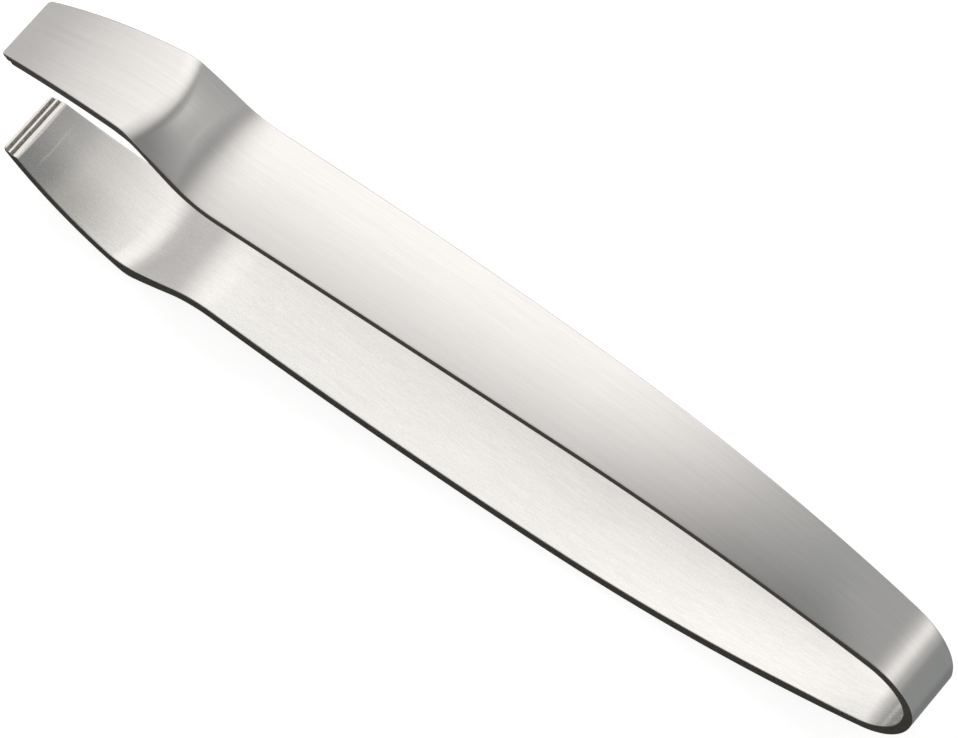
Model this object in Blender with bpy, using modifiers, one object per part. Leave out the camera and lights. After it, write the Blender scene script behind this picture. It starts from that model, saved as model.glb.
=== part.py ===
"""Fish bone tweezers: one bent strip of stainless spring steel, divided where it flexes.

The profile is drawn in two numbers, the distance from the crown of the bow towards the tips and the
height above the plane halfway between the arms. In the model the bow is at +X and the tips at -X.
"""

from math import asin, atan2, cos, degrees, pi, radians, sin, sqrt

import bmesh
import bpy
from mathutils import Matrix, Vector

MM = 0.001

# Strip
STRIP_THICKNESS = 1.3 * MM
STRIP_WIDTH = 13.7 * MM         # at its broadest
BOW_WIDTH = 7.9 * MM            # at the crown of the bow
TIP_WIDTH = 8.9 * MM
BROAD_STATION = 100 * MM        # length of strip between the crown and the broadest point
TIP_CORNER_RADIUS = 0.5 * MM
EDGE_EASE = 0.15 * MM

# Bow
BOW_INNER_RADIUS = 7 * MM
SHOULDER_SLOPE = radians(14.6)  # slope of each arm where it leaves the bow

# Arms, bowed outwards: a short root and a long, nearly straight run
ROOT_LENGTH = 43 * MM
ROOT_RADIUS = 170 * MM
ARM_LENGTH = 48 * MM
ARM_RADIUS = 760 * MM

# Ramp up to the paddle, as it is along the edges of the strip
FOOT_BEND_RADIUS = 13 * MM
RAMP_LENGTH = 6.7 * MM
RAMP_SLOPE = radians(24.8)
CREST_BEND_RADIUS = 4 * MM
CREST_REACH = 1.4 * MM          # the crest bulges this far towards the bow at mid-width

# Paddle
PADDLE_SLOPE = radians(-7.7)    # where it leaves the crest
PADDLE_LENGTH = 18.9 * MM
PADDLE_RADIUS = 63 * MM

# Ground land inside each tip, with its cross grooves
TIP_EDGE = 0.3 * MM             # thickness left at the end of the tip
LAND_CLEARANCE = 0.06 * MM      # between the two lands when the tips are closed
GROOVE_COUNT = 2
GROOVE_DEPTH = 0.22 * MM
GROOVE_INSET = 0.65 * MM        # from the end of the tip to the first groove
GROOVE_PITCH = 0.75 * MM

# Cuts
SEAM_GAP = 0.3 * MM             # between the bow and each arm
CUT_OVERRUN = 2 * MM

# Divisions of the mesh
ACROSS_STEPS = 12
BOW_STEPS = 26
ROOT_STEPS = 11
ARM_STEPS = 10
FOOT_STEPS = 8
CREST_STEPS = 8
PADDLE_STEPS = 10
CORNER_STEPS = 4
EASE_STEPS = 2

# Look
STEEL_COLOR = (0.66, 0.65, 0.63, 1)
STEEL_ROUGHNESS = 0.34
SMOOTH_ANGLE = radians(30)
EDGE_ANGLE = radians(60)


def along(slope):
    """Unit vector along a slope, towards the tips."""
    return Vector((cos(slope), sin(slope)))


def out(slope):
    """Unit vector square to a slope, away from the other arm."""
    return Vector((-sin(slope), cos(slope)))


def outline_radius(length, widening):
    """Radius of the arc that moves sideways by widening over length, from its tangent point."""
    return (length ** 2 + widening ** 2) / (2 * widening)


# Bends of the mid-surface that are the same across the whole width
BOW_RADIUS = BOW_INNER_RADIUS + STRIP_THICKNESS / 2
BOW_CENTRE = Vector((BOW_RADIUS, 0))
SHOULDER = BOW_CENTRE + BOW_RADIUS * out(SHOULDER_SLOPE)
ROOT_CENTRE = SHOULDER - ROOT_RADIUS * out(SHOULDER_SLOPE)
ARM_SLOPE = SHOULDER_SLOPE - ROOT_LENGTH / ROOT_RADIUS
ARM_CENTRE = ROOT_CENTRE + (ROOT_RADIUS - ARM_RADIUS) * out(ARM_SLOPE)
FOOT_SLOPE = ARM_SLOPE - ARM_LENGTH / ARM_RADIUS
FOOT = ARM_CENTRE + ARM_RADIUS * out(FOOT_SLOPE)
FOOT_CENTRE = FOOT + FOOT_BEND_RADIUS * out(FOOT_SLOPE)
CREST_CENTRE = (FOOT_CENTRE + RAMP_LENGTH * along(RAMP_SLOPE)
                - (FOOT_BEND_RADIUS + CREST_BEND_RADIUS) * out(RAMP_SLOPE))
PADDLE_CENTRE = CREST_CENTRE - (PADDLE_RADIUS - CREST_BEND_RADIUS) * out(PADDLE_SLOPE)
TIP_SLOPE = PADDLE_SLOPE - PADDLE_LENGTH / PADDLE_RADIUS
CORNER_SLOPE = TIP_SLOPE + TIP_CORNER_RADIUS / PADDLE_RADIUS

# Length of strip from the crown to where each bend starts, along the edges of the strip
ROOT_START = BOW_RADIUS * (pi / 2 - SHOULDER_SLOPE)
ARM_START = ROOT_START + ROOT_LENGTH
FOOT_START = ARM_START + ARM_LENGTH
CREST_START = FOOT_START + FOOT_BEND_RADIUS * (RAMP_SLOPE - FOOT_SLOPE) + RAMP_LENGTH
PADDLE_START = CREST_START + CREST_BEND_RADIUS * (RAMP_SLOPE - PADDLE_SLOPE)
STRIP_END = PADDLE_START + PADDLE_LENGTH

# The blank's outline: two arcs on each side, which meet at the broadest point
BOW_SIDE_RADIUS = outline_radius(BROAD_STATION, (STRIP_WIDTH - BOW_WIDTH) / 2)
TIP_SIDE_RADIUS = outline_radius(STRIP_END - BROAD_STATION, (STRIP_WIDTH - TIP_WIDTH) / 2)


def half_width(station):
    """Half the width of the blank at a length of strip from the crown."""
    offset = station - BROAD_STATION
    radius = TIP_SIDE_RADIUS if offset > 0 else BOW_SIDE_RADIUS
    width = STRIP_WIDTH / 2 - radius + sqrt(radius ** 2 - offset ** 2)
    corner = station - STRIP_END + TIP_CORNER_RADIUS
    if corner > 0:
        width -= TIP_CORNER_RADIUS - sqrt(max(0, TIP_CORNER_RADIUS ** 2 - corner ** 2))
    return width


def arc(centre, radius, first_slope, last_slope, steps):
    """Points and slopes along a bend. A bend that turns outwards has a negative radius."""
    for step in range(steps + 1):
        slope = first_slope + (last_slope - first_slope) * step / steps
        yield centre + radius * out(slope), slope


def ramp_bends(share):
    """Crest and foot bends of the fibre at this share of the half-width, and the slope between."""
    crest_end = PADDLE_SLOPE + CREST_REACH * (1 - share ** 2) / PADDLE_RADIUS
    crest_centre = PADDLE_CENTRE + (PADDLE_RADIUS - CREST_BEND_RADIUS) * out(crest_end)
    reach = FOOT - crest_centre
    largest_bend = ((reach.length_squared - CREST_BEND_RADIUS ** 2)
                    / (2 * (CREST_BEND_RADIUS - reach.dot(out(FOOT_SLOPE)))))
    foot_bend = min(FOOT_BEND_RADIUS, largest_bend)
    foot_centre = FOOT + foot_bend * out(FOOT_SLOPE)
    span = crest_centre - foot_centre
    leaning = asin(min(1, (foot_bend + CREST_BEND_RADIUS) / span.length))
    return crest_centre, crest_end, foot_centre, foot_bend, atan2(span.y, span.x) + leaning


def arm_fibre(share):
    """Points and slopes of one lengthwise fibre of an arm, from just inside the bow to the tip."""
    crest_centre, crest_end, foot_centre, foot_bend, ramp_slope = ramp_bends(share)
    root_slope = SHOULDER_SLOPE + CUT_OVERRUN / ROOT_RADIUS
    fibre = list(arc(ROOT_CENTRE, ROOT_RADIUS, root_slope, ARM_SLOPE, ROOT_STEPS))
    fibre += list(arc(ARM_CENTRE, ARM_RADIUS, ARM_SLOPE, FOOT_SLOPE, ARM_STEPS))[1:]
    fibre += list(arc(foot_centre, -foot_bend, FOOT_SLOPE, ramp_slope, FOOT_STEPS))[1:]
    fibre += list(arc(crest_centre, CREST_BEND_RADIUS, ramp_slope, crest_end, CREST_STEPS))
    fibre += list(arc(PADDLE_CENTRE, PADDLE_RADIUS, crest_end, CORNER_SLOPE, PADDLE_STEPS))[1:]
    for step in range(1, CORNER_STEPS + 1):
        slope = CORNER_SLOPE + (TIP_SLOPE - CORNER_SLOPE) * sin(step / CORNER_STEPS * pi / 2)
        fibre.append((PADDLE_CENTRE + PADDLE_RADIUS * out(slope), slope))
    return fibre


def bow_fibre():
    """Points and slopes round the bow, from just past one shoulder to just past the other."""
    first_slope = SHOULDER_SLOPE - CUT_OVERRUN / BOW_RADIUS
    return list(arc(BOW_CENTRE, BOW_RADIUS, first_slope, pi - first_slope, BOW_STEPS))


def stations(fibre, start):
    """Length of strip from the crown to each point, where the first lies at start."""
    lengths = [start]
    for (before, _), (after, _) in zip(fibre, fibre[1:]):
        lengths.append(lengths[-1] + (after - before).length)
    return lengths


def to_model(point, side):
    """Place in the model of a profile point of the upper (side 1) or lower (side -1) arm."""
    return Vector((-point.x, 0, side * point.y))


# Closing: each arm turns about its shoulder until its land lies on the plane between the arms
TIP_INNER = (PADDLE_CENTRE + (PADDLE_RADIUS + STRIP_THICKNESS / 2 - TIP_EDGE) * out(TIP_SLOPE))
TIP_ARM = TIP_INNER - SHOULDER
CLOSING_ANGLE = atan2(TIP_ARM.y, TIP_ARM.x) + asin((SHOULDER.y - LAND_CLEARANCE / 2) / TIP_ARM.length)


def outer_points(side):
    """Outer corners of the profile on one side, in the model."""
    fibres = arm_fibre(0) + arm_fibre(1) + bow_fibre()
    return [to_model(point + STRIP_THICKNESS / 2 * out(slope), side) for point, slope in fibres]


def resting_attitude():
    """Turn and move that lay the lower arm on the ground, with the model centred over the origin."""
    lower = outer_points(-1)
    middle = min(point.x for point in lower) / 2
    # From the crest, follow the chords under the outline to the one under the middle
    support = min(lower, key=lambda point: point.z)
    while support.x < middle:
        ahead = [point for point in lower if point.x > support.x]
        rise, reach = min(((point.z - support.z, point.x - support.x) for point in ahead),
                          key=lambda step: step[0] / step[1])
        support = support + Vector((reach, 0, rise))
    turn = atan2(rise, reach)
    laid = Matrix.Rotation(turn, 4, 'Y')
    placed = [laid @ point for point in lower + outer_points(1)]
    left = min(point.x for point in placed)
    right = max(point.x for point in placed)
    bottom = min(point.z for point in placed)
    return turn, Vector((-(left + right) / 2, 0, -bottom))


def steel(name):
    """Brushed stainless steel of one piece."""
    material = bpy.data.materials.new(name)
    material.use_nodes = True
    shader = material.node_tree.nodes["Principled BSDF"]
    shader.inputs["Base Color"].default_value = STEEL_COLOR
    shader.inputs["Metallic"].default_value = 1
    shader.inputs["Roughness"].default_value = STEEL_ROUGHNESS
    return material


def add_strip(name, fibre_at, widths, pivot, side):
    """A length of the strip: its open mid-surface given its thickness and eased edges.

    fibre_at gives the fibre for a share of the half-width, and pivot becomes the piece's origin.
    """
    mesh = bpy.data.meshes.new(name)
    grid = bmesh.new()
    bmesh.ops.create_grid(grid, x_segments=len(widths) - 1, y_segments=ACROSS_STEPS, size=1)
    fibres = {}
    for vertex in grid.verts:
        column = round((vertex.co.x + 1) / 2 * (len(widths) - 1))
        row = round((vertex.co.y + 1) / 2 * ACROSS_STEPS)
        share = 2 * row / ACROSS_STEPS - 1
        if row not in fibres:
            fibres[row] = fibre_at(abs(share))
        point = to_model(fibres[row][column][0], side)
        point.y = share * widths[column]
        vertex.co = point - pivot
    grid.to_mesh(mesh)
    grid.free()

    piece = bpy.data.objects.new(name, mesh)
    tweezers.objects.link(piece)
    piece.parent = attitude
    piece.location = pivot
    mesh.materials.append(steel(name + "_steel"))

    body = piece.modifiers.new("thickness", 'SOLIDIFY')
    body.thickness = STRIP_THICKNESS
    body.offset = 0
    body.use_even_offset = True
    ease = piece.modifiers.new("eased_edges", 'BEVEL')
    ease.width = EDGE_EASE
    ease.segments = EASE_STEPS
    ease.limit_method = 'ANGLE'
    ease.angle_limit = EDGE_ANGLE
    return piece


def cut(piece, name, centre, slope, size, side):
    """Cut a block out of a piece. Its length lies along the slope and its height square to it."""
    mesh = bpy.data.meshes.new(name)
    block = bmesh.new()
    bmesh.ops.create_cube(block, size=1)
    bmesh.ops.scale(block, vec=size, verts=block.verts)
    block.to_mesh(mesh)
    block.free()
    cutter = bpy.data.objects.new(name, mesh)
    cutters.objects.link(cutter)
    cutter.hide_render = True
    cutter.display_type = 'WIRE'
    cutter.parent = piece
    cutter.location = to_model(centre, side) - piece.location
    cutter.rotation_euler = (0, side * slope, 0)
    boolean = piece.modifiers.new(name, 'BOOLEAN')
    boolean.object = cutter
    boolean.operation = 'DIFFERENCE'
    boolean.solver = 'EXACT'


def cut_seam(piece, name, towards_tips, side):
    """Square off a piece at the shoulder, on one side of the seam or the other."""
    length = 2 * CUT_OVERRUN
    reach = (SEAM_GAP / 2 - length / 2) * (-1 if towards_tips else 1)
    size = (length, STRIP_WIDTH + length, STRIP_THICKNESS + length)
    cut(piece, name, SHOULDER + reach * along(SHOULDER_SLOPE), SHOULDER_SLOPE, size, side)


def grind_tip(piece, name, side):
    """Cut the flat land inside the tip, then its cross grooves."""
    width = STRIP_WIDTH + 2 * CUT_OVERRUN
    depth = STRIP_THICKNESS + CUT_OVERRUN
    centre = TIP_INNER - depth / 2 * out(CLOSING_ANGLE)
    cut(piece, name + "_land_cut", centre, CLOSING_ANGLE, (PADDLE_LENGTH, width, depth), side)
    # Half of each bar's diagonal is twice the groove's depth, and its centre is that depth off the land
    bar = 2 * sqrt(2) * GROOVE_DEPTH
    for groove in range(GROOVE_COUNT):
        inset = GROOVE_INSET + groove * GROOVE_PITCH
        centre = TIP_INNER - inset * along(CLOSING_ANGLE) - GROOVE_DEPTH * out(CLOSING_ANGLE)
        groove_name = f"{name}_groove_cut_{groove + 1}"
        cut(piece, groove_name, centre, CLOSING_ANGLE + pi / 4, (bar, width, bar), side)


def shade(piece):
    """Smooth the bends and keep the cut edges crisp."""
    piece.data.shade_smooth()
    piece.data.set_sharp_from_angle(angle=SMOOTH_ANGLE)


def add_arm(name, side):
    """One arm with its ramp, paddle and ground tip. It turns about the shoulder of the bow."""
    lengths = stations(arm_fibre(1), ROOT_START - CUT_OVERRUN)
    # The chords of the bends add up to a little less than the bends
    stretch = (STRIP_END - lengths[0]) / (lengths[-1] - lengths[0])
    widths = [half_width(lengths[0] + (length - lengths[0]) * stretch) for length in lengths]
    piece = add_strip(name, arm_fibre, widths, to_model(SHOULDER, side), side)
    cut_seam(piece, name + "_seam_cut", False, side)
    grind_tip(piece, name, side)
    shade(piece)
    return piece


def add_bow(name):
    """The bend at the closed end, which works as the spring."""
    widths = [half_width(BOW_RADIUS * abs(pi / 2 - slope)) for _, slope in bow_fibre()]
    piece = add_strip(name, lambda share: bow_fibre(), widths, Vector((0, 0, 0)), 1)
    cut_seam(piece, "upper_bow_seam_cut", True, 1)
    cut_seam(piece, "lower_bow_seam_cut", True, -1)
    shade(piece)
    return piece


for old in list(bpy.data.objects):
    bpy.data.objects.remove(old, do_unlink=True)

tweezers = bpy.data.collections.new("fish_bone_tweezers")
cutters = bpy.data.collections.new("cutters")
bpy.context.scene.collection.children.link(tweezers)
bpy.context.scene.collection.children.link(cutters)

attitude = bpy.data.objects.new("attitude", None)
tweezers.objects.link(attitude)
turn_down, attitude.location = resting_attitude()
attitude.rotation_euler = (0, turn_down, 0)

bow = add_bow("spring_bow")
upper_arm = add_arm("upper_arm", 1)
lower_arm = add_arm("lower_arm", -1)

bpy.context.view_layer.update()
print("each arm closes by", round(degrees(CLOSING_ANGLE), 3), "degrees")
for arm in (upper_arm, lower_arm):
    print(arm.name, "turns about", [round(value / MM, 3) for value in arm.matrix_world.translation], "mm")
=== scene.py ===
from math import asin, atan2, cos, pi, radians, sin, sqrt

import bpy
from mathutils import Matrix, Vector


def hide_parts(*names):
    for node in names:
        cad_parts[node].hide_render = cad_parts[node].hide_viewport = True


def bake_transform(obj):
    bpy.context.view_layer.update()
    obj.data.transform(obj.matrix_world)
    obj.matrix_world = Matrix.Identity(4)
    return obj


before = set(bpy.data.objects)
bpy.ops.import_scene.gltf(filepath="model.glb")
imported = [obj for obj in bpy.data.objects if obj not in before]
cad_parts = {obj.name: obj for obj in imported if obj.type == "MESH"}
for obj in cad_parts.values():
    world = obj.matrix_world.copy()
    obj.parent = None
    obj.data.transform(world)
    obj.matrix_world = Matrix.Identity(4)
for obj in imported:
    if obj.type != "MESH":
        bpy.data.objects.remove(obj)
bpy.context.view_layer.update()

mm = 0.001


# Small helpers

# An sRGB hex colour as the linear one that Blender takes
def linear(hexColour):
    parts = [int(hexColour[i:i + 2], 16) / 255 for i in (1, 3, 5)]
    return tuple(p / 12.92 if p <= 0.04045 else ((p + 0.055) / 1.055) ** 2.4 for p in parts) + (1,)


# A node with its settings, which are sockets or properties, and the sockets that feed it
def addNode(tree, kind, settings, links=()):
    node = tree.nodes.new(kind)
    for name, value in settings.items():
        if isinstance(name, int) or name in node.inputs:
            node.inputs[name].default_value = value
        else:
            setattr(node, name, value)
    for socket, source in dict(links).items():
        tree.links.new(source, node.inputs[socket])
    return node


def newMaterial(name):
    material = bpy.data.materials.new(name)
    material.use_nodes = True
    return material, material.node_tree, material.node_tree.nodes["Principled BSDF"]


def pickOnly(piece):
    bpy.ops.object.select_all(action='DESELECT')
    piece.select_set(True)
    bpy.context.view_layer.objects.active = piece


def applyModifier(piece, kind, settings):
    pickOnly(piece)
    modifier = piece.modifiers.new(kind.lower(), kind)
    for name, value in settings.items():
        setattr(modifier, name, value)
    bpy.ops.object.modifier_apply(modifier=modifier.name)


# From 0 to 1 without a corner at either end
def smooth(share):
    share = min(1, max(0, share))
    return share * share * (3 - 2 * share)


# The strip's sizes: the solids', but for the hollow, the crest's fill and slightly larger grooves that
# lie a little nearer to the tip's end
strip = {
    "thickness": 1.3 * mm,
    "width": 13.7 * mm,             # at its broadest
    "bowWidth": 7.9 * mm,
    "tipWidth": 8.9 * mm,
    "broadAt": 100 * mm,            # length of strip from the crown of the bow
    "rampAt": 110 * mm,             # the same, to about the middle of the ramp
    "cornerRadius": 0.5 * mm,
    "edgeEase": 0.15 * mm,
    "dullBelow": 0.97,              # share of the full thickness up to which the edge is dull
    "bowInside": 7 * mm,
    "shoulderSlope": radians(14.6),
    "rootLength": 43 * mm, "rootRadius": 170 * mm,
    "armLength": 48 * mm, "armRadius": 760 * mm,
    "footBend": 13 * mm,
    "rampLength": 6.7 * mm, "rampSlope": radians(24.8),
    "crestBend": 4 * mm, "crestReach": 1.4 * mm,
    "crestFill": 8 * mm,            # radius that the inside of the crest is filled out to
    "fillMost": 0.3 * mm,           # the filling adds less than this
    "paddleSlope": radians(-7.7), "paddleLength": 18.9 * mm, "paddleRadius": 63 * mm,
    "tipEdge": 0.3 * mm,            # thickness left at the end of the tip
    "landClearance": 0.06 * mm,     # between the two lands when the tips are closed
    "hollowDepth": 0.3 * mm, "hollowFrom": 10 * mm, "hollowTo": 113 * mm, "hollowEase": 10 * mm,
    "grooves": 2, "grooveDepth": 0.26 * mm, "grooveInset": 0.53 * mm, "groovePitch": 0.78 * mm,
    "flexBefore": 4 * mm, "flexAfter": 8 * mm,      # lengths of strip on either side of the hinge
    "sharpFrom": radians(20),       # edges that turn more than this stay crisp
}
strip["bowRadius"] = strip["bowInside"] + strip["thickness"] / 2

# How finely the strip is divided
divisions = {"across": 22, "bow": 44, "root": 50, "arm": 50, "foot": 26, "ramp": 14, "crest": 26,
             "paddle": 54, "corner": 3, "edge": 6}

# How the tweezers lie, as the solids do: turned down about Y, in radians, then moved, from the pose in
# which the arms are mirror images
rest = {"turn": 0.047974057496, "right": 64.425326884 * mm, "up": 11.393435299 * mm}
lying = Matrix.Translation((rest["right"], 0, rest["up"])) @ Matrix.Rotation(rest["turn"], 4, 'Y')


# The side profile, in lengths from the crown and heights above the plane between the arms

def along(slope):
    return Vector((cos(slope), sin(slope)))


def out(slope):
    return Vector((-sin(slope), cos(slope)))


def profileBends():
    s = strip
    bends = {"bowCentre": Vector((s["bowRadius"], 0))}
    bends["shoulder"] = bends["bowCentre"] + s["bowRadius"] * out(s["shoulderSlope"])
    bends["rootCentre"] = bends["shoulder"] - s["rootRadius"] * out(s["shoulderSlope"])
    bends["armSlope"] = s["shoulderSlope"] - s["rootLength"] / s["rootRadius"]
    bends["armCentre"] = bends["rootCentre"] + (s["rootRadius"] - s["armRadius"]) * out(bends["armSlope"])
    bends["footSlope"] = bends["armSlope"] - s["armLength"] / s["armRadius"]
    bends["foot"] = bends["armCentre"] + s["armRadius"] * out(bends["footSlope"])
    footCentre = bends["foot"] + s["footBend"] * out(bends["footSlope"])
    crestCentre = (footCentre + s["rampLength"] * along(s["rampSlope"])
                   - (s["footBend"] + s["crestBend"]) * out(s["rampSlope"]))
    bends["paddleCentre"] = crestCentre - (s["paddleRadius"] - s["crestBend"]) * out(s["paddleSlope"])
    bends["tipSlope"] = s["paddleSlope"] - s["paddleLength"] / s["paddleRadius"]
    rootStart = s["bowRadius"] * (pi / 2 - s["shoulderSlope"])
    footStart = rootStart + s["rootLength"] + s["armLength"]
    bends["end"] = (footStart + s["footBend"] * (s["rampSlope"] - bends["footSlope"]) + s["rampLength"]
                    + s["crestBend"] * (s["rampSlope"] - s["paddleSlope"]) + s["paddleLength"])
    bends["tipInner"] = (bends["paddleCentre"]
                         + (s["paddleRadius"] + s["thickness"] / 2 - s["tipEdge"]) * out(bends["tipSlope"]))
    arm = bends["tipInner"] - bends["shoulder"]
    bends["closing"] = (atan2(arm.y, arm.x)
                        + asin((bends["shoulder"].y - s["landClearance"] / 2) / arm.length))
    return bends


bends = profileBends()


# The outline has one arc from the bow to the broadest point and another from there to the tip
def halfWidth(station):
    s = strip
    offset = station - s["broadAt"]
    if offset > 0:
        length, narrow = bends["end"] - s["broadAt"], s["tipWidth"]
    else:
        length, narrow = s["broadAt"], s["bowWidth"]
    widening = (s["width"] - narrow) / 2
    radius = (length ** 2 + widening ** 2) / (2 * widening)
    return s["width"] / 2 - radius + sqrt(radius ** 2 - offset ** 2)


# Distances from the outline at which the lines nearest to it run: close together round the eased edge,
# then on to the radius of the tip's corners
def edgeInsets():
    s, d = strip, divisions
    insets = [s["edgeEase"] * (1 - cos(step / d["edge"] * pi / 2)) for step in range(d["edge"] + 1)]
    gap = (s["cornerRadius"] - s["edgeEase"]) / d["corner"]
    return insets + [s["edgeEase"] + gap * step for step in range(1, d["corner"] + 1)]


# Where the lengthwise lines run, in shares of the half-width at the ramp, from one edge to the other
def lineShares(insets):
    outer = [1 - inset / halfWidth(strip["rampAt"]) for inset in insets]
    steps = divisions["across"]
    half = outer + [outer[-1] * (1 - 2 * step / steps) for step in range(1, steps // 2)]
    return half + [0] + [-share for share in reversed(half)]


# The thickness at a distance from the outline, where the edge is eased
def easedThickness(inset):
    s = strip
    inside = max(0, s["edgeEase"] - inset)
    return (s["thickness"] / 2 - s["edgeEase"] + sqrt(s["edgeEase"] ** 2 - inside ** 2)) * 2


# The tip's corners are rounded by bending the lines round them
def roundCorner(ahead, beside):
    radius = strip["cornerRadius"]
    if ahead >= radius or beside >= radius:
        return ahead, beside
    near, far = min(ahead, beside), max(ahead, beside)
    turn = pi / 4 * (radius - far) / (radius - near) if near < radius else 0
    near, far = radius - (radius - near) * cos(turn), radius - (radius - near) * sin(turn)
    return (near, far) if ahead <= beside else (far, near)


# Points and slopes along a bend. Step 0 is left out where the stretch before it ends there.
def bend(centre, radius, first, last, steps, start=1):
    for step in range(start, steps + 1):
        slope = first + (last - first) * step / steps
        yield centre + radius * out(slope), slope


# What the press filled in on the inside of the crest's bend
def crestFill(point, slope, centre, middle, half):
    inner = point - strip["thickness"] / 2 * out(slope) - centre
    if inner.angle(out(middle)) >= half:
        return 0
    level = inner.dot(out(slope))
    return max(0, level - sqrt(level ** 2 - inner.length_squared + strip["crestFill"] ** 2))


# One lengthwise line of the strip, at a share of the half-width, from the crown to the rounding of the
# tip. It starts in the middle of a chord, so that the two halves of the strip meet with the same shading.
# Towards mid-width the crest lies nearer to the bow, so the ramp there is shorter and steeper.
def stripLine(share):
    s, d = strip, divisions
    crestEnd = s["paddleSlope"] + s["crestReach"] * (1 - share ** 2) / s["paddleRadius"]
    crestCentre = bends["paddleCentre"] + (s["paddleRadius"] - s["crestBend"]) * out(crestEnd)
    footSlope = bends["footSlope"]
    reach = bends["foot"] - crestCentre
    largest = ((reach.length_squared - s["crestBend"] ** 2)
               / (2 * (s["crestBend"] - reach.dot(out(footSlope)))))
    footBend = min(s["footBend"], largest)
    footCentre = bends["foot"] + footBend * out(footSlope)
    span = crestCentre - footCentre
    rampSlope = atan2(span.y, span.x) + asin(min(1, (footBend + s["crestBend"]) / span.length))
    top = pi / 2
    chord = (top - s["shoulderSlope"]) / (d["bow"] + 0.5)
    lastSlope = bends["tipSlope"] + s["cornerRadius"] / s["paddleRadius"]
    line = [(bends["bowCentre"] + s["bowRadius"] * cos(chord / 2) * out(top), top)]
    line += bend(bends["bowCentre"], s["bowRadius"], top - chord / 2, s["shoulderSlope"], d["bow"], start=0)
    line += bend(bends["rootCentre"], s["rootRadius"], s["shoulderSlope"], bends["armSlope"], d["root"])
    line += bend(bends["armCentre"], s["armRadius"], bends["armSlope"], footSlope, d["arm"])
    line += bend(footCentre, -footBend, footSlope, rampSlope, d["foot"])
    rampStart, rampEnd = line[-1][0], crestCentre + s["crestBend"] * out(rampSlope)
    line += [(rampStart.lerp(rampEnd, step / d["ramp"]), rampSlope) for step in range(1, d["ramp"])]
    line += bend(crestCentre, s["crestBend"], rampSlope, crestEnd, d["crest"], start=0)
    line += bend(bends["paddleCentre"], s["paddleRadius"], crestEnd, lastSlope, d["paddle"])
    middle, half = (rampSlope + crestEnd) / 2, (rampSlope - crestEnd) / 2
    inside = s["crestBend"] - s["thickness"] / 2
    fillCentre = crestCentre - (s["crestFill"] - inside) / cos(half) * out(middle)
    return [(point, slope, crestFill(point, slope, fillCentre, middle, half)) for point, slope in line]


# The arms are pressed slightly hollow, with the hollow inside. It comes and goes along the strip, and the
# middle of the strip stands out as far as its edges stand in.
def hollow(length, share):
    s = strip
    coming = smooth((length - s["hollowFrom"]) / s["hollowEase"])
    going = smooth((s["hollowTo"] - length) / s["hollowEase"])
    return s["hollowDepth"] * coming * going * (0.5 - share ** 2)


# Where a point of the profile lies in the scene: side 1 is the upper half, side -1 the lower
def placed(point, side, across=0):
    return lying @ Vector((-point.x, across, side * point.y))


def lengthsAlong(line):
    lengths = [0]
    for before, after in zip(line, line[1:]):
        lengths.append(lengths[-1] + (after[0] - before[0]).length)
    return lengths


# Metals

# Noise seldom leaves the middle of its range, so the tones and the roughness follow that middle
noiseMiddle = {"tones": (0.35, 0.65), "roughness": (0.3, 0.7)}


# A cloudy pattern fixed to the piece, with clouds about as long along each axis as size says
def addClouds(tree, size, detail, fineness):
    place = addNode(tree, "ShaderNodeTexCoord", {}).outputs["Object"]
    scaled = addNode(tree, "ShaderNodeMapping", {"Scale": [1 / length for length in size]},
                     {"Vector": place}).outputs[0]
    return addNode(tree, "ShaderNodeTexNoise", {"Scale": 1, "Detail": detail, "Roughness": fineness},
                   {"Vector": scaled}).outputs["Fac"]


# The metal's dark and light tones, as its pattern gives them. A Mix node of colours has them in sockets 6
# and 7, and the mix in output 2.
def addTones(tree, look, pattern):
    low, high = noiseMiddle["tones"]
    tone = addNode(tree, "ShaderNodeMapRange", {"From Min": low, "From Max": high},
                   {"Value": pattern}).outputs[0]
    colours = {6: linear(look["dark"]), 7: linear(look["light"])}
    return addNode(tree, "ShaderNodeMix", {"data_type": 'RGBA', **colours}, {0: tone}).outputs[2]


# Stainless sheet brushed along the strip, 180 grit: soft streaks, with a sheen that spreads across them.
# The grit's own lines are under 0.1 mm apart. They are drawn about twice as coarse, so that they show.
def makeBrushedSteel(name, look):
    material, tree, shader = newMaterial(name)
    streaks = addClouds(tree, (look["streakRun"], look["streak"], look["streakRun"]), detail=3, fineness=0.6)
    bands = addClouds(tree, (look["bandRun"], look["band"], look["bandRun"]), detail=2, fineness=0.5)
    share = addNode(tree, "ShaderNodeMath", {"operation": 'MULTIPLY', 1: look["bandShare"]},
                    {0: bands}).outputs[0]
    both = addNode(tree, "ShaderNodeMath", {"operation": 'MULTIPLY_ADD', 1: 1 - look["bandShare"]},
                   {0: streaks, 2: share}).outputs[0]
    colour = addTones(tree, look, both)
    if "worn" in look:
        colour = addPaintedShadeAndLight(tree, colour, look["worn"])
    low, high = noiseMiddle["roughness"]
    smoothest, roughest = look["roughness"]
    rough = addNode(tree, "ShaderNodeMapRange",
                    {"From Min": low, "From Max": high, "To Min": roughest, "To Max": smoothest},
                    {"Value": streaks}).outputs[0]
    dents = addNode(tree, "ShaderNodeBump", {"Strength": look["dentStrength"], "Distance": look["dent"]},
                    {"Height": streaks}).outputs[0]
    tangent = addNode(tree, "ShaderNodeTangent", {"direction_type": 'UV_MAP', "uv_map": "UVMap"}).outputs[0]
    tree.links.new(colour, shader.inputs["Base Color"])
    tree.links.new(rough, shader.inputs["Roughness"])
    tree.links.new(dents, shader.inputs["Normal"])
    tree.links.new(tangent, shader.inputs["Tangent"])
    shader.inputs["Metallic"].default_value = 1
    shader.inputs["Anisotropic"].default_value = look["spread"]
    return material
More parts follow.
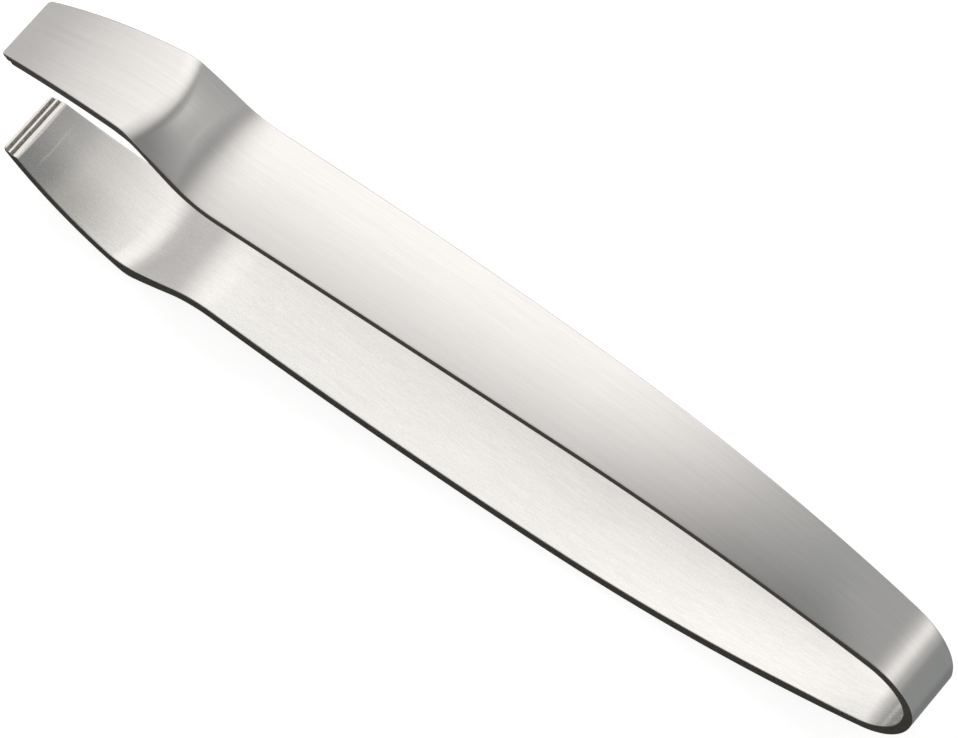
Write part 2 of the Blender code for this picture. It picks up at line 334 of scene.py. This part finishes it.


# Inside the paddles the sheet is painted darker towards the tip and greyer still in a band behind the land,
# both most of all along the front edge, where that darkening is painted shade. A bright band painted beside
# the land stands in for the land's last 0.3 mm and the light it catches, and a painted highlight marks a
# faint step across the middle. Painted shade on the inside of the bow's bend dims a reflection there.
def addPaintedShadeAndLight(tree, colour, worn):
    spot = addNode(tree, "ShaderNodeSeparateXYZ", {},
                   {0: addNode(tree, "ShaderNodeTexCoord", {}).outputs["UV"]}).outputs
    # V, which the node gives as Y, is the length from the crown as a share of the whole
    whole = bends["end"]
    fromTip = addNode(tree, "ShaderNodeMath", {"operation": 'MULTIPLY_ADD', 1: -whole, 2: whole},
                      {0: spot["Y"]}).outputs[0]
    masks = {}
    for name, length, unit in (("darkerToTip", fromTip, 1), ("greyBehindLand", fromTip, 1), ("brightBesideLand", fromTip, 1),
                               ("shadeInBend", spot["Y"], whole)):
        paintedMark = worn[name]
        masks[name] = addNode(tree, "ShaderNodeMapRange",
                              {"interpolation_type": 'SMOOTHSTEP', "From Min": paintedMark["gone"] / unit,
                               "From Max": paintedMark["full"] / unit, "To Max": paintedMark["share"]},
                              {"Value": length}).outputs[0]
    # Painted shade: the darkening is full along the front edge and weaker towards the back
    frontShade = addNode(tree, "ShaderNodeMapRange",
                           {"interpolation_type": 'SMOOTHSTEP', "From Min": worn["front"],
                            "From Max": worn["back"], "To Min": 1, "To Max": worn["backShare"]},
                           {"Value": spot["X"]}).outputs[0]
    for name in ("darkerToTip", "greyBehindLand"):
        masks[name] = addNode(tree, "ShaderNodeMath", {"operation": 'MULTIPLY'},
                              {0: masks[name], 1: frontShade}).outputs[0]
    # A painted highlight of a faint step across the middle
    masks["step"] = addStepHighlight(tree, worn["step"], fromTip, spot["X"])
    for name in ("darkerToTip", "greyBehindLand", "step", "brightBesideLand", "shadeInBend"):
        colour = addNode(tree, "ShaderNodeMix", {"data_type": 'RGBA', 7: linear(worn[name]["colour"])},
                         {0: masks[name], 6: colour}).outputs[2]
    return colour


# A painted highlight of a faint step: a wavering light line across the middle of the strip
def addStepHighlight(tree, step, fromTip, across):
    waver = addClouds(tree, [step["waverRun"]] * 3, detail=2, fineness=0.5)
    shifted = addNode(tree, "ShaderNodeMath", {"operation": 'MULTIPLY_ADD', 1: step["waver"]},
                      {0: waver, 2: fromTip}).outputs[0]
    distances = []
    for place, centre in ((shifted, step["at"]), (across, 0.5)):
        offset = addNode(tree, "ShaderNodeMath", {"operation": 'SUBTRACT', 1: centre}, {0: place}).outputs[0]
        distances.append(addNode(tree, "ShaderNodeMath", {"operation": 'ABSOLUTE'}, {0: offset}).outputs[0])
    line = addNode(tree, "ShaderNodeMapRange",
                   {"From Max": step["width"] / 2, "To Min": step["share"], "To Max": 0},
                   {"Value": distances[0]}).outputs[0]
    inMiddle = addNode(tree, "ShaderNodeMapRange",
                       {"interpolation_type": 'SMOOTHSTEP', "From Min": step["goneBeyond"],
                        "From Max": step["fullWithin"]}, {"Value": distances[1]}).outputs[0]
    return addNode(tree, "ShaderNodeMath", {"operation": 'MULTIPLY'}, {0: line, 1: inMiddle}).outputs[0]


# Steel that no brush has touched, in two tones: the die's edge and what the wheel and the file cut
def makeCutSteel(name, look):
    material, tree, shader = newMaterial(name)
    pattern = addClouds(tree, look["size"], detail=3, fineness=look["fineness"])
    tree.links.new(addTones(tree, look, pattern), shader.inputs["Base Color"])
    if "dent" in look:
        dents = addNode(tree, "ShaderNodeBump", {"Strength": look["dentStrength"], "Distance": look["dent"]},
                        {"Height": pattern}).outputs[0]
        tree.links.new(dents, shader.inputs["Normal"])
    shader.inputs["Metallic"].default_value = 1
    shader.inputs["Roughness"].default_value = look["roughness"]
    return material


print("metals")
outsideSheet = {"light": "#dcdbd9", "dark": "#d7d6d4", "streak": 0.16 * mm, "streakRun": 7 * mm,
                "band": 1.1 * mm, "bandRun": 30 * mm, "bandShare": 0.4, "dent": 0.002 * mm,
                "dentStrength": 0.25, "roughness": (0.21, 0.24), "spread": 0.75}
brushedSteel = makeBrushedSteel("brushed_stainless_steel", outsideSheet)

# The same sheet inside, where the brush ran shorter and left a softer sheen. Its tones are a little lighter
# than
# outside: painted light on the inner faces. Each painted mark is full up to one length and gone at another,
# from the tip or, where the bow is bent, from its crown.
insideSheet = {"light": "#e1e0de", "dark": "#dbdad8", "streak": 0.18 * mm, "streakRun": 2.5 * mm,
               "band": 0.9 * mm, "bandRun": 7 * mm, "bandShare": 0.4, "dent": 0.0012 * mm,
               "dentStrength": 0.25, "roughness": (0.26, 0.29), "spread": 0.35}
insideSheet["worn"] = {
    # Darker towards the tip; along the front edge this darkening is painted shade
    "darkerToTip": {"full": 9 * mm, "gone": 19 * mm, "share": 0.9, "colour": "#aeaca8"},
    # Greyer in a band behind the land; along the front edge this is painted shade
    "greyBehindLand": {"full": 5.4 * mm, "gone": 8.9 * mm, "share": 0.53, "colour": "#7c7f81"},
    # A bright band painted beside the land: it stands in for the land's last 0.3 mm and the light it catches
    "brightBesideLand": {"full": 1.9 * mm, "gone": 2.15 * mm, "share": 1, "colour": "#f6f5f2"},
    # Painted shade on the inside of the bow's bend, measured from its crown, dims a reflection there
    "shadeInBend": {"full": 6 * mm, "gone": 8.5 * mm, "share": 0.85, "colour": "#8f8e8c"},
    "front": 0.15, "back": 0.65, "backShare": 0.38,     # shares of the width, and of the darkening left at the back; along the front it is painted shade
    # "fullWithin" and "goneBeyond" are shares of the width, from its middle, for the painted highlight of the
    # step
    "step": {"at": 4.3 * mm, "width": 0.36 * mm, "share": 0.35, "colour": "#e6e5e2",
             "fullWithin": 0.12, "goneBeyond": 0.3, "waver": 0.3 * mm, "waverRun": 2.5 * mm},
}
insideSteel = makeBrushedSteel("brushed_stainless_steel_inside", insideSheet)

# The edge as the blanking die left it: dull and grainy, and dark partly from the cut and partly as painted
# shade on the sides, which face away from the light
cutEdge = {"light": "#6e6a62", "dark": "#504d47", "size": [0.25 * mm] * 3, "fineness": 0.6, "roughness": 0.5}
blankedEdge = makeCutSteel("blanked_steel_edge", cutEdge)

# The lands, ground across the tip with a finer wheel: brighter steel with lines across the strip
land = {"light": "#eceae7", "dark": "#d4d1cb", "size": (0.09 * mm, 1.6 * mm, 0.09 * mm), "fineness": 0.65,
        "dent": 0.01 * mm, "dentStrength": 0.4, "roughness": 0.36}
groundLand = makeCutSteel("ground_steel_land", land)

# The cross grooves, filed: coarse and dull, and darker than the land, partly from the file and partly as
# painted shade in the grooves
groove = {"light": "#d0cdc8", "dark": "#7a7670", "size": [0.14 * mm] * 3, "fineness": 0.7,
          "dent": 0.02 * mm, "dentStrength": 0.5, "roughness": 0.6}
filedGroove = makeCutSteel("filed_steel_groove", groove)

metals = [brushedSteel, blankedEdge, groundLand, filedGroove, insideSteel]


# One half of the strip, from the crown of the bow to the tip. Its flat blank is bent to the profile, with
# U across the strip and V along it, then thickened, ground and shaded.

def addBlank(name, side):
    insets = edgeInsets()
    shares = lineShares(insets)
    lines = [stripLine(abs(share)) for share in shares]
    lengths = lengthsAlong(lines[0])
    innermost = shares[len(insets) - 1]
    toRounding = bends["end"] - strip["cornerRadius"]
    rows, straight = len(shares) - 1, len(lengths) - 1
    columns = straight + len(insets) - 1
    bpy.ops.mesh.primitive_grid_add(x_subdivisions=columns, y_subdivisions=rows, size=2)
    blank = bpy.context.object
    blank.name = blank.data.name = name
    easing = blank.vertex_groups.new(name="easing")
    thickness = blank.vertex_groups.new(name="thickness")
    fullest = strip["thickness"] + strip["fillMost"]
    places = []
    for vertex in blank.data.vertices:
        # Columns run from the crown to the tip and rows from edge to edge
        column = round((vertex.co.x + 1) / 2 * columns)
        row = round((vertex.co.y + 1) / 2 * rows)
        fromEdge = min(row, rows - row)
        beside = insets[fromEdge] if fromEdge < len(insets) else strip["cornerRadius"]
        ahead = insets[columns - column] if column > straight else strip["cornerRadius"]
        thick = easedThickness(min(ahead, beside))
        if column <= straight:
            point, slope, fill = lines[row][column]
            length = lengths[column] * toRounding / lengths[-1]
        else:                               # the last columns follow the end of the tip
            ahead, beside = roundCorner(ahead, beside)
            length = bends["end"] - ahead
            slope = bends["tipSlope"] + ahead / strip["paddleRadius"]
            point, fill = bends["paddleCentre"] + strip["paddleRadius"] * out(slope), 0
        width = halfWidth(length)
        if fromEdge < len(insets):
            across = (width - beside) * (1 if shares[row] > 0 else -1)
        else:
            across = shares[row] / innermost * (width - strip["cornerRadius"])
        point = point + (hollow(length, across / width) - fill / 2) * out(slope)
        vertex.co = placed(point, side, across)
        easing.add([vertex.index], thick / strip["thickness"], 'REPLACE')
        thickness.add([vertex.index], (thick + fill) / fullest, 'REPLACE')
        places.append((0.5 + across / strip["width"], length / bends["end"]))
    for loop, spot in zip(blank.data.loops, blank.data.uv_layers[0].data):
        spot.uv = places[loop.vertex_index]
    return blank


def thicken(half):
    applyModifier(half, 'SOLIDIFY', {"thickness": strip["thickness"] + strip["fillMost"], "offset": 0,
                                     "use_even_offset": True, "vertex_group": "thickness"})
    bpy.ops.object.mode_set(mode='EDIT')
    bpy.ops.mesh.select_all(action='SELECT')
    bpy.ops.mesh.normals_make_consistent(inside=False)
    bpy.ops.object.mode_set(mode='OBJECT')


# The die's dull cut goes most of the way round the eased edge, and the inside has a finish of its own
def giveSheetMetals(half):
    mesh = half.data
    for metal in metals:
        mesh.materials.append(metal)
    easing = half.vertex_groups["easing"].index
    weights = []
    for vertex in mesh.vertices:
        weights.append(next(entry.weight for entry in vertex.groups if entry.group == easing))
    upright = lying.inverted()
    for face in mesh.polygons:
        centre = upright @ face.center
        inwards = Vector((min(0, -strip["bowRadius"] - centre.x), 0, -centre.z))
        thickness = sum(weights[index] for index in face.vertices) / len(face.vertices)
        if thickness < strip["dullBelow"]:
            face.material_index = metals.index(blankedEdge)
        elif (upright.to_3x3() @ face.normal).dot(inwards) > 0:
            face.material_index = metals.index(insideSteel)
    half.vertex_groups.clear()


def cutAway(half, centre, slope, size, side):
    turn = lying.to_euler().y + side * slope
    bpy.ops.mesh.primitive_cube_add(size=1, location=placed(centre, side), rotation=(0, turn, 0), scale=size)
    cutter = bpy.context.object
    applyModifier(half, 'BOOLEAN', {"object": cutter, "operation": 'DIFFERENCE', "solver": 'EXACT'})
    bpy.data.objects.remove(cutter, do_unlink=True)


# Lengths from the end of the tip to the middle of each groove
def grooveInsets():
    return [strip["grooveInset"] + number * strip["groovePitch"] for number in range(strip["grooves"])]


# The land is cut flat, then each groove with a square bar that stands on its edge. Half the bar's diagonal
# is twice the groove's depth, and its centre is that depth off the land.
def grindTip(half, side):
    s, closing = strip, bends["closing"]
    width, depth = s["width"] * 2, s["thickness"] * 2
    inwards = -out(closing)
    cutAway(half, bends["tipInner"] + depth / 2 * inwards, closing, (s["paddleLength"], width, depth), side)
    bar = 2 * sqrt(2) * s["grooveDepth"]
    for inset in grooveInsets():
        centre = bends["tipInner"] - inset * along(closing) + s["grooveDepth"] * inwards
        cutAway(half, centre, closing + pi / 4, (bar, width, bar), side)


# How the cut faces are told apart: by the cosine of their turn from the land, and by how far the land's own
# faces may lie off its plane
cutFaces = {"landFacing": 0.999, "landSlack": 0.002 * mm, "grooveFacing": (0.6, 0.8)}


def giveTipMetals(half, side):
    closing, deepest = bends["closing"], strip["grooveDepth"]
    corner = placed(bends["tipInner"], side)
    turned = lying.to_3x3()
    towardsTip = (turned @ Vector((-along(closing).x, 0, side * along(closing).y))).normalized()
    outwards = (turned @ Vector((-out(closing).x, 0, side * out(closing).y))).normalized()
    insets = grooveInsets()
    leastFacing, mostFacing = cutFaces["grooveFacing"]
    for face in half.data.polygons:
        offset = face.center - corner
        depth, ahead = offset.dot(outwards), offset.dot(towardsTip)
        facing = -face.normal.dot(outwards)
        if facing > cutFaces["landFacing"] and abs(depth) < cutFaces["landSlack"]:
            face.material_index = metals.index(groundLand)
        elif (leastFacing < facing < mostFacing and 0 < depth < deepest
              and min(abs(ahead + inset) for inset in insets) < deepest):
            face.material_index = metals.index(filedGroove)


def finishShading(half):
    pickOnly(half)
    bpy.ops.object.shade_smooth_by_angle(angle=strip["sharpFrom"])
    applyModifier(half, 'WEIGHTED_NORMAL', {"keep_sharp": True})


def addHalf(name, side, nodes):
    half = addBlank(name, side)
    thicken(half)
    giveSheetMetals(half)
    grindTip(half, side)
    giveTipMetals(half, side)
    finishShading(half)
    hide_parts(*nodes)
    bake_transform(half)
    print(name, len(half.data.polygons), "faces")


print("strip")
addHalf("strip_upper_half", 1, ["upper_arm", "spring_bow"])
addHalf("strip_lower_half", -1, ["lower_arm"])


# Table, light and room

# The light is slightly cool where it is weak and slightly warm where it is strong
tints = {"cool": (0.965, 1.0, 0.995), "warm": (1.025, 1.0, 0.988), "coolUpTo": 0.35, "warmFrom": 0.65}
rampScale = 2                       # a colour ramp's stops hold strengths as shares of this


# Light that changes from place to place, through stops of a place and a strength. First and last are what
# the source gives at the first and the last stop.
def addStrengths(tree, source, stops, first, last, tinted=True):
    share = addNode(tree, "ShaderNodeMapRange", {"From Min": first, "From Max": last},
                    {"Value": source}).outputs[0]
    ramp = addNode(tree, "ShaderNodeValToRGB", {}, {"Fac": share})
    elements = ramp.color_ramp.elements
    elements.remove(elements[1])
    for number, (place, strength) in enumerate(stops):
        spot = (place - stops[0][0]) / (stops[-1][0] - stops[0][0])
        element = elements[0] if number == 0 else elements.new(spot)
        element.position = spot
        tint = (1, 1, 1)
        if tinted:
            warmth = (strength - tints["coolUpTo"]) / (tints["warmFrom"] - tints["coolUpTo"])
            warmth = min(1, max(0, warmth))
            tint = [cool + (warm - cool) * warmth for cool, warm in zip(tints["cool"], tints["warm"])]
        element.color = [strength / rampScale * part for part in tint] + [1]
    return ramp.outputs["Color"]


# Matt table top, white by its own glow, which takes the faint shadow. The metal doesn't mirror it.
tableTop = {"size": 6.0, "colour": "#aaaaaa", "glow": 0.80}


def addTable():
    bpy.ops.mesh.primitive_plane_add(size=tableTop["size"], location=(0, 0, 0))
    table = bpy.context.object
    table.name = "table_top"
    material, tree, shader = newMaterial("matt_white_table")
    shader.inputs["Base Color"].default_value = linear(tableTop["colour"])
    shader.inputs["Roughness"].default_value = 1
    shader.inputs["Specular IOR Level"].default_value = 0
    shader.inputs["Emission Color"].default_value = (1, 1, 1, 1)
    shader.inputs["Emission Strength"].default_value = tableTop["glow"]
    table.data.materials.append(material)
    table.visible_glossy = False


# What the undersides mirror instead: a white card behind the tweezers on a grey mat, which is darker under
# them, a painted shadow, and paler well in front. All of it glows, and only the metal sees it.
greyMat = {
    "lift": 0.02 * mm, "grey": 0.35,
    # Painted shadow: the mat is darker under the tweezers, up to a length along X, then fades to its grey
    "dark": 0.24, "shadowTo": 70 * mm, "shadowFade": 8 * mm,
    "pale": 0.9, "paleFrom": -40 * mm, "paleFade": 60 * mm,
    "card": 1.9, "cardFront": 4 * mm, "cardEnd": 56 * mm, "cardFade": 12 * mm,
    "cardBack": 60 * mm, "cardBackFade": 25 * mm,
}


def addMat():
    m = greyMat
    bpy.ops.mesh.primitive_plane_add(size=tableTop["size"], location=(0, 0, m["lift"]))
    mat = bpy.context.object
    mat.name = "grey_mat"
    material, tree, shader = newMaterial("card_on_grey_mat")
    tree.nodes.remove(shader)
    parts = addNode(tree, "ShaderNodeSeparateXYZ", {},
                    {0: addNode(tree, "ShaderNodeNewGeometry", {}).outputs["Position"]}).outputs
    # The card's edges: an axis, and where along it the card starts to show and is full
    edges = []
    for axis, start, end in (("Y", m["cardFront"], m["cardFront"] + m["cardFade"]),
                             ("X", m["cardEnd"], m["cardEnd"] - m["cardFade"]),
                             ("Y", m["cardBack"], m["cardBack"] - m["cardBackFade"])):
        edges.append(addNode(tree, "ShaderNodeMapRange",
                             {"interpolation_type": 'SMOOTHSTEP', "From Min": start, "From Max": end},
                             {"Value": parts[axis]}).outputs[0])
    card = edges[0]
    for edge in edges[1:]:
        card = addNode(tree, "ShaderNodeMath", {"operation": 'MULTIPLY'}, {0: card, 1: edge}).outputs[0]
    # The mat's grey, with its painted shadow under the tweezers
    grey = addNode(tree, "ShaderNodeMapRange",
                   {"interpolation_type": 'SMOOTHSTEP', "From Min": m["shadowTo"],
                    "From Max": m["shadowTo"] + m["shadowFade"], "To Min": m["dark"], "To Max": m["grey"]},
                   {"Value": parts["X"]}).outputs[0]
    paler = addNode(tree, "ShaderNodeMapRange",
                    {"interpolation_type": 'SMOOTHSTEP', "From Min": m["paleFrom"],
                     "From Max": m["paleFrom"] - m["paleFade"], "To Max": m["pale"]},
                    {"Value": parts["Y"], "To Min": grey}).outputs[0]
    strength = addNode(tree, "ShaderNodeMapRange", {"To Max": m["card"]},
                       {"Value": card, "To Min": paler}).outputs[0]
    glow = addNode(tree, "ShaderNodeEmission", {"Color": tints["cool"] + (1,)},
                   {"Strength": strength}).outputs[0]
    tree.links.new(glow, tree.nodes["Material Output"].inputs["Surface"])
    mat.data.materials.append(material)
    mat.visible_camera = mat.visible_diffuse = mat.visible_shadow = False
    mat.visible_transmission = mat.visible_volume_scatter = False


# A cloth spread over the tweezers and lit from above. Most of the shading on the metal is its reflection.
diffuser = {
    "size": 6.0, "height": 250 * mm,
    # Degrees from straight up towards the bow, and strength
    "lengthwise": ((-90, 0.71), (-74, 0.745), (-62, 0.67), (-56, 0.83), (-51, 0.99), (-46, 1.13), (-41, 1.24),
                   (-36, 1.37), (-31, 1.43), (-25, 1.40), (-18, 1.41), (-10, 1.35), (-3, 1.22), (2, 1.07),
                   (7, 0.90), (12, 0.65), (17, 0.53), (21, 0.44), (28, 0.53), (36, 0.585), (46, 0.76),
                   (57, 1.17), (63, 1.12), (69, 0.85), (76, 0.63), (84, 0.57), (90, 0.53)),
    # Degrees from straight up towards the back, and share
    "crosswise": ((-90, 0.95), (-55, 0.85), (-32, 0.72), (-18, 0.52), (-8, 0.43), (0, 0.45), (14, 0.71),
                  (24, 0.99), (34, 1.04), (43, 1.02), (52, 0.95), (65, 0.88), (90, 0.88)),
}


def addDiffuser():
    height = diffuser["height"]
    bpy.ops.mesh.primitive_plane_add(size=diffuser["size"], location=(0, 0, height))
    cloth = bpy.context.object
    cloth.name = "diffuser"
    material, tree, shader = newMaterial("lit_diffuser_cloth")
    tree.nodes.remove(shader)
    parts = addNode(tree, "ShaderNodeSeparateXYZ", {},
                    {0: addNode(tree, "ShaderNodeNewGeometry", {}).outputs["Position"]}).outputs
    ramps = []
    for axis, stops in (("X", diffuser["lengthwise"]), ("Y", diffuser["crosswise"])):
        slope = addNode(tree, "ShaderNodeMath", {"operation": 'DIVIDE', 1: height},
                        {0: parts[axis]}).outputs[0]
        angle = addNode(tree, "ShaderNodeMath", {"operation": 'ARCTANGENT'}, {0: slope}).outputs[0]
        ramps.append(addStrengths(tree, angle, stops, -pi / 2, pi / 2, tinted=(axis == "X")))
    strength = addNode(tree, "ShaderNodeMath", {"operation": 'MULTIPLY', 1: rampScale ** 2},
                       {0: ramps[1]}).outputs[0]
    glow = addNode(tree, "ShaderNodeEmission", {}, {"Color": ramps[0], "Strength": strength}).outputs[0]
    tree.links.new(glow, tree.nodes["Material Output"].inputs["Surface"])
    cloth.data.materials.append(material)
    cloth.visible_camera = False


roomStrengths = ((-1, 0.66), (0, 0.60), (1, 0.38))      # from the tips' side to the bow's


def lightRoom():
    world = bpy.data.worlds.new("room")
    world.use_nodes = True
    bpy.context.scene.world = world
    tree = world.node_tree
    direction = addNode(tree, "ShaderNodeTexCoord", {}).outputs["Generated"]
    ahead = addNode(tree, "ShaderNodeSeparateXYZ", {}, {0: direction}).outputs["X"]
    tree.links.new(addStrengths(tree, ahead, roomStrengths, -1, 1), tree.nodes["Background"].inputs["Color"])
    tree.nodes["Background"].inputs["Strength"].default_value = rampScale


# Where the photograph was taken from, for tweezers in the pose in which the arms are mirror images. Angles
# are in radians, "pixels" is the focal length, and "right" and "up" give the crown's place from the middle
# of the picture.
view = {"azimuth": 0.5742, "elevation": 1.0790, "roll": 0.0828, "pixels": 9005.6,
        "right": 50.3937 * mm, "up": -36.4776 * mm, "distance": 1010.92 * mm,
        "imageWidth": 958, "sensor": 36, "nearest": 10 * mm, "farthest": 50}


def addCamera():
    a, e, r = view["azimuth"], view["elevation"], view["roll"]
    back = Vector((sin(a) * cos(e), -cos(a) * cos(e), sin(e)))
    level = Vector((cos(a), sin(a), 0))
    upright = back.cross(level)
    right = cos(r) * level + sin(r) * upright
    up = -sin(r) * level + cos(r) * upright
    place = Matrix((right, up, back)).transposed().to_4x4()
    place.translation = -view["right"] * right - view["up"] * up + view["distance"] * back
    camera = bpy.data.objects.new("camera", bpy.data.cameras.new("camera"))
    bpy.context.scene.collection.objects.link(camera)
    camera.matrix_world = lying @ place
    camera.data.sensor_fit = 'HORIZONTAL'
    camera.data.sensor_width = view["sensor"]
    camera.data.lens = view["pixels"] / view["imageWidth"] * view["sensor"]
    camera.data.clip_start = view["nearest"]
    camera.data.clip_end = view["farthest"]
    bpy.context.scene.camera = camera


print("table, cloth and camera")
addTable()
addMat()
addDiffuser()
lightRoom()
addCamera()
bpy.context.scene.view_settings.view_transform = 'Standard'
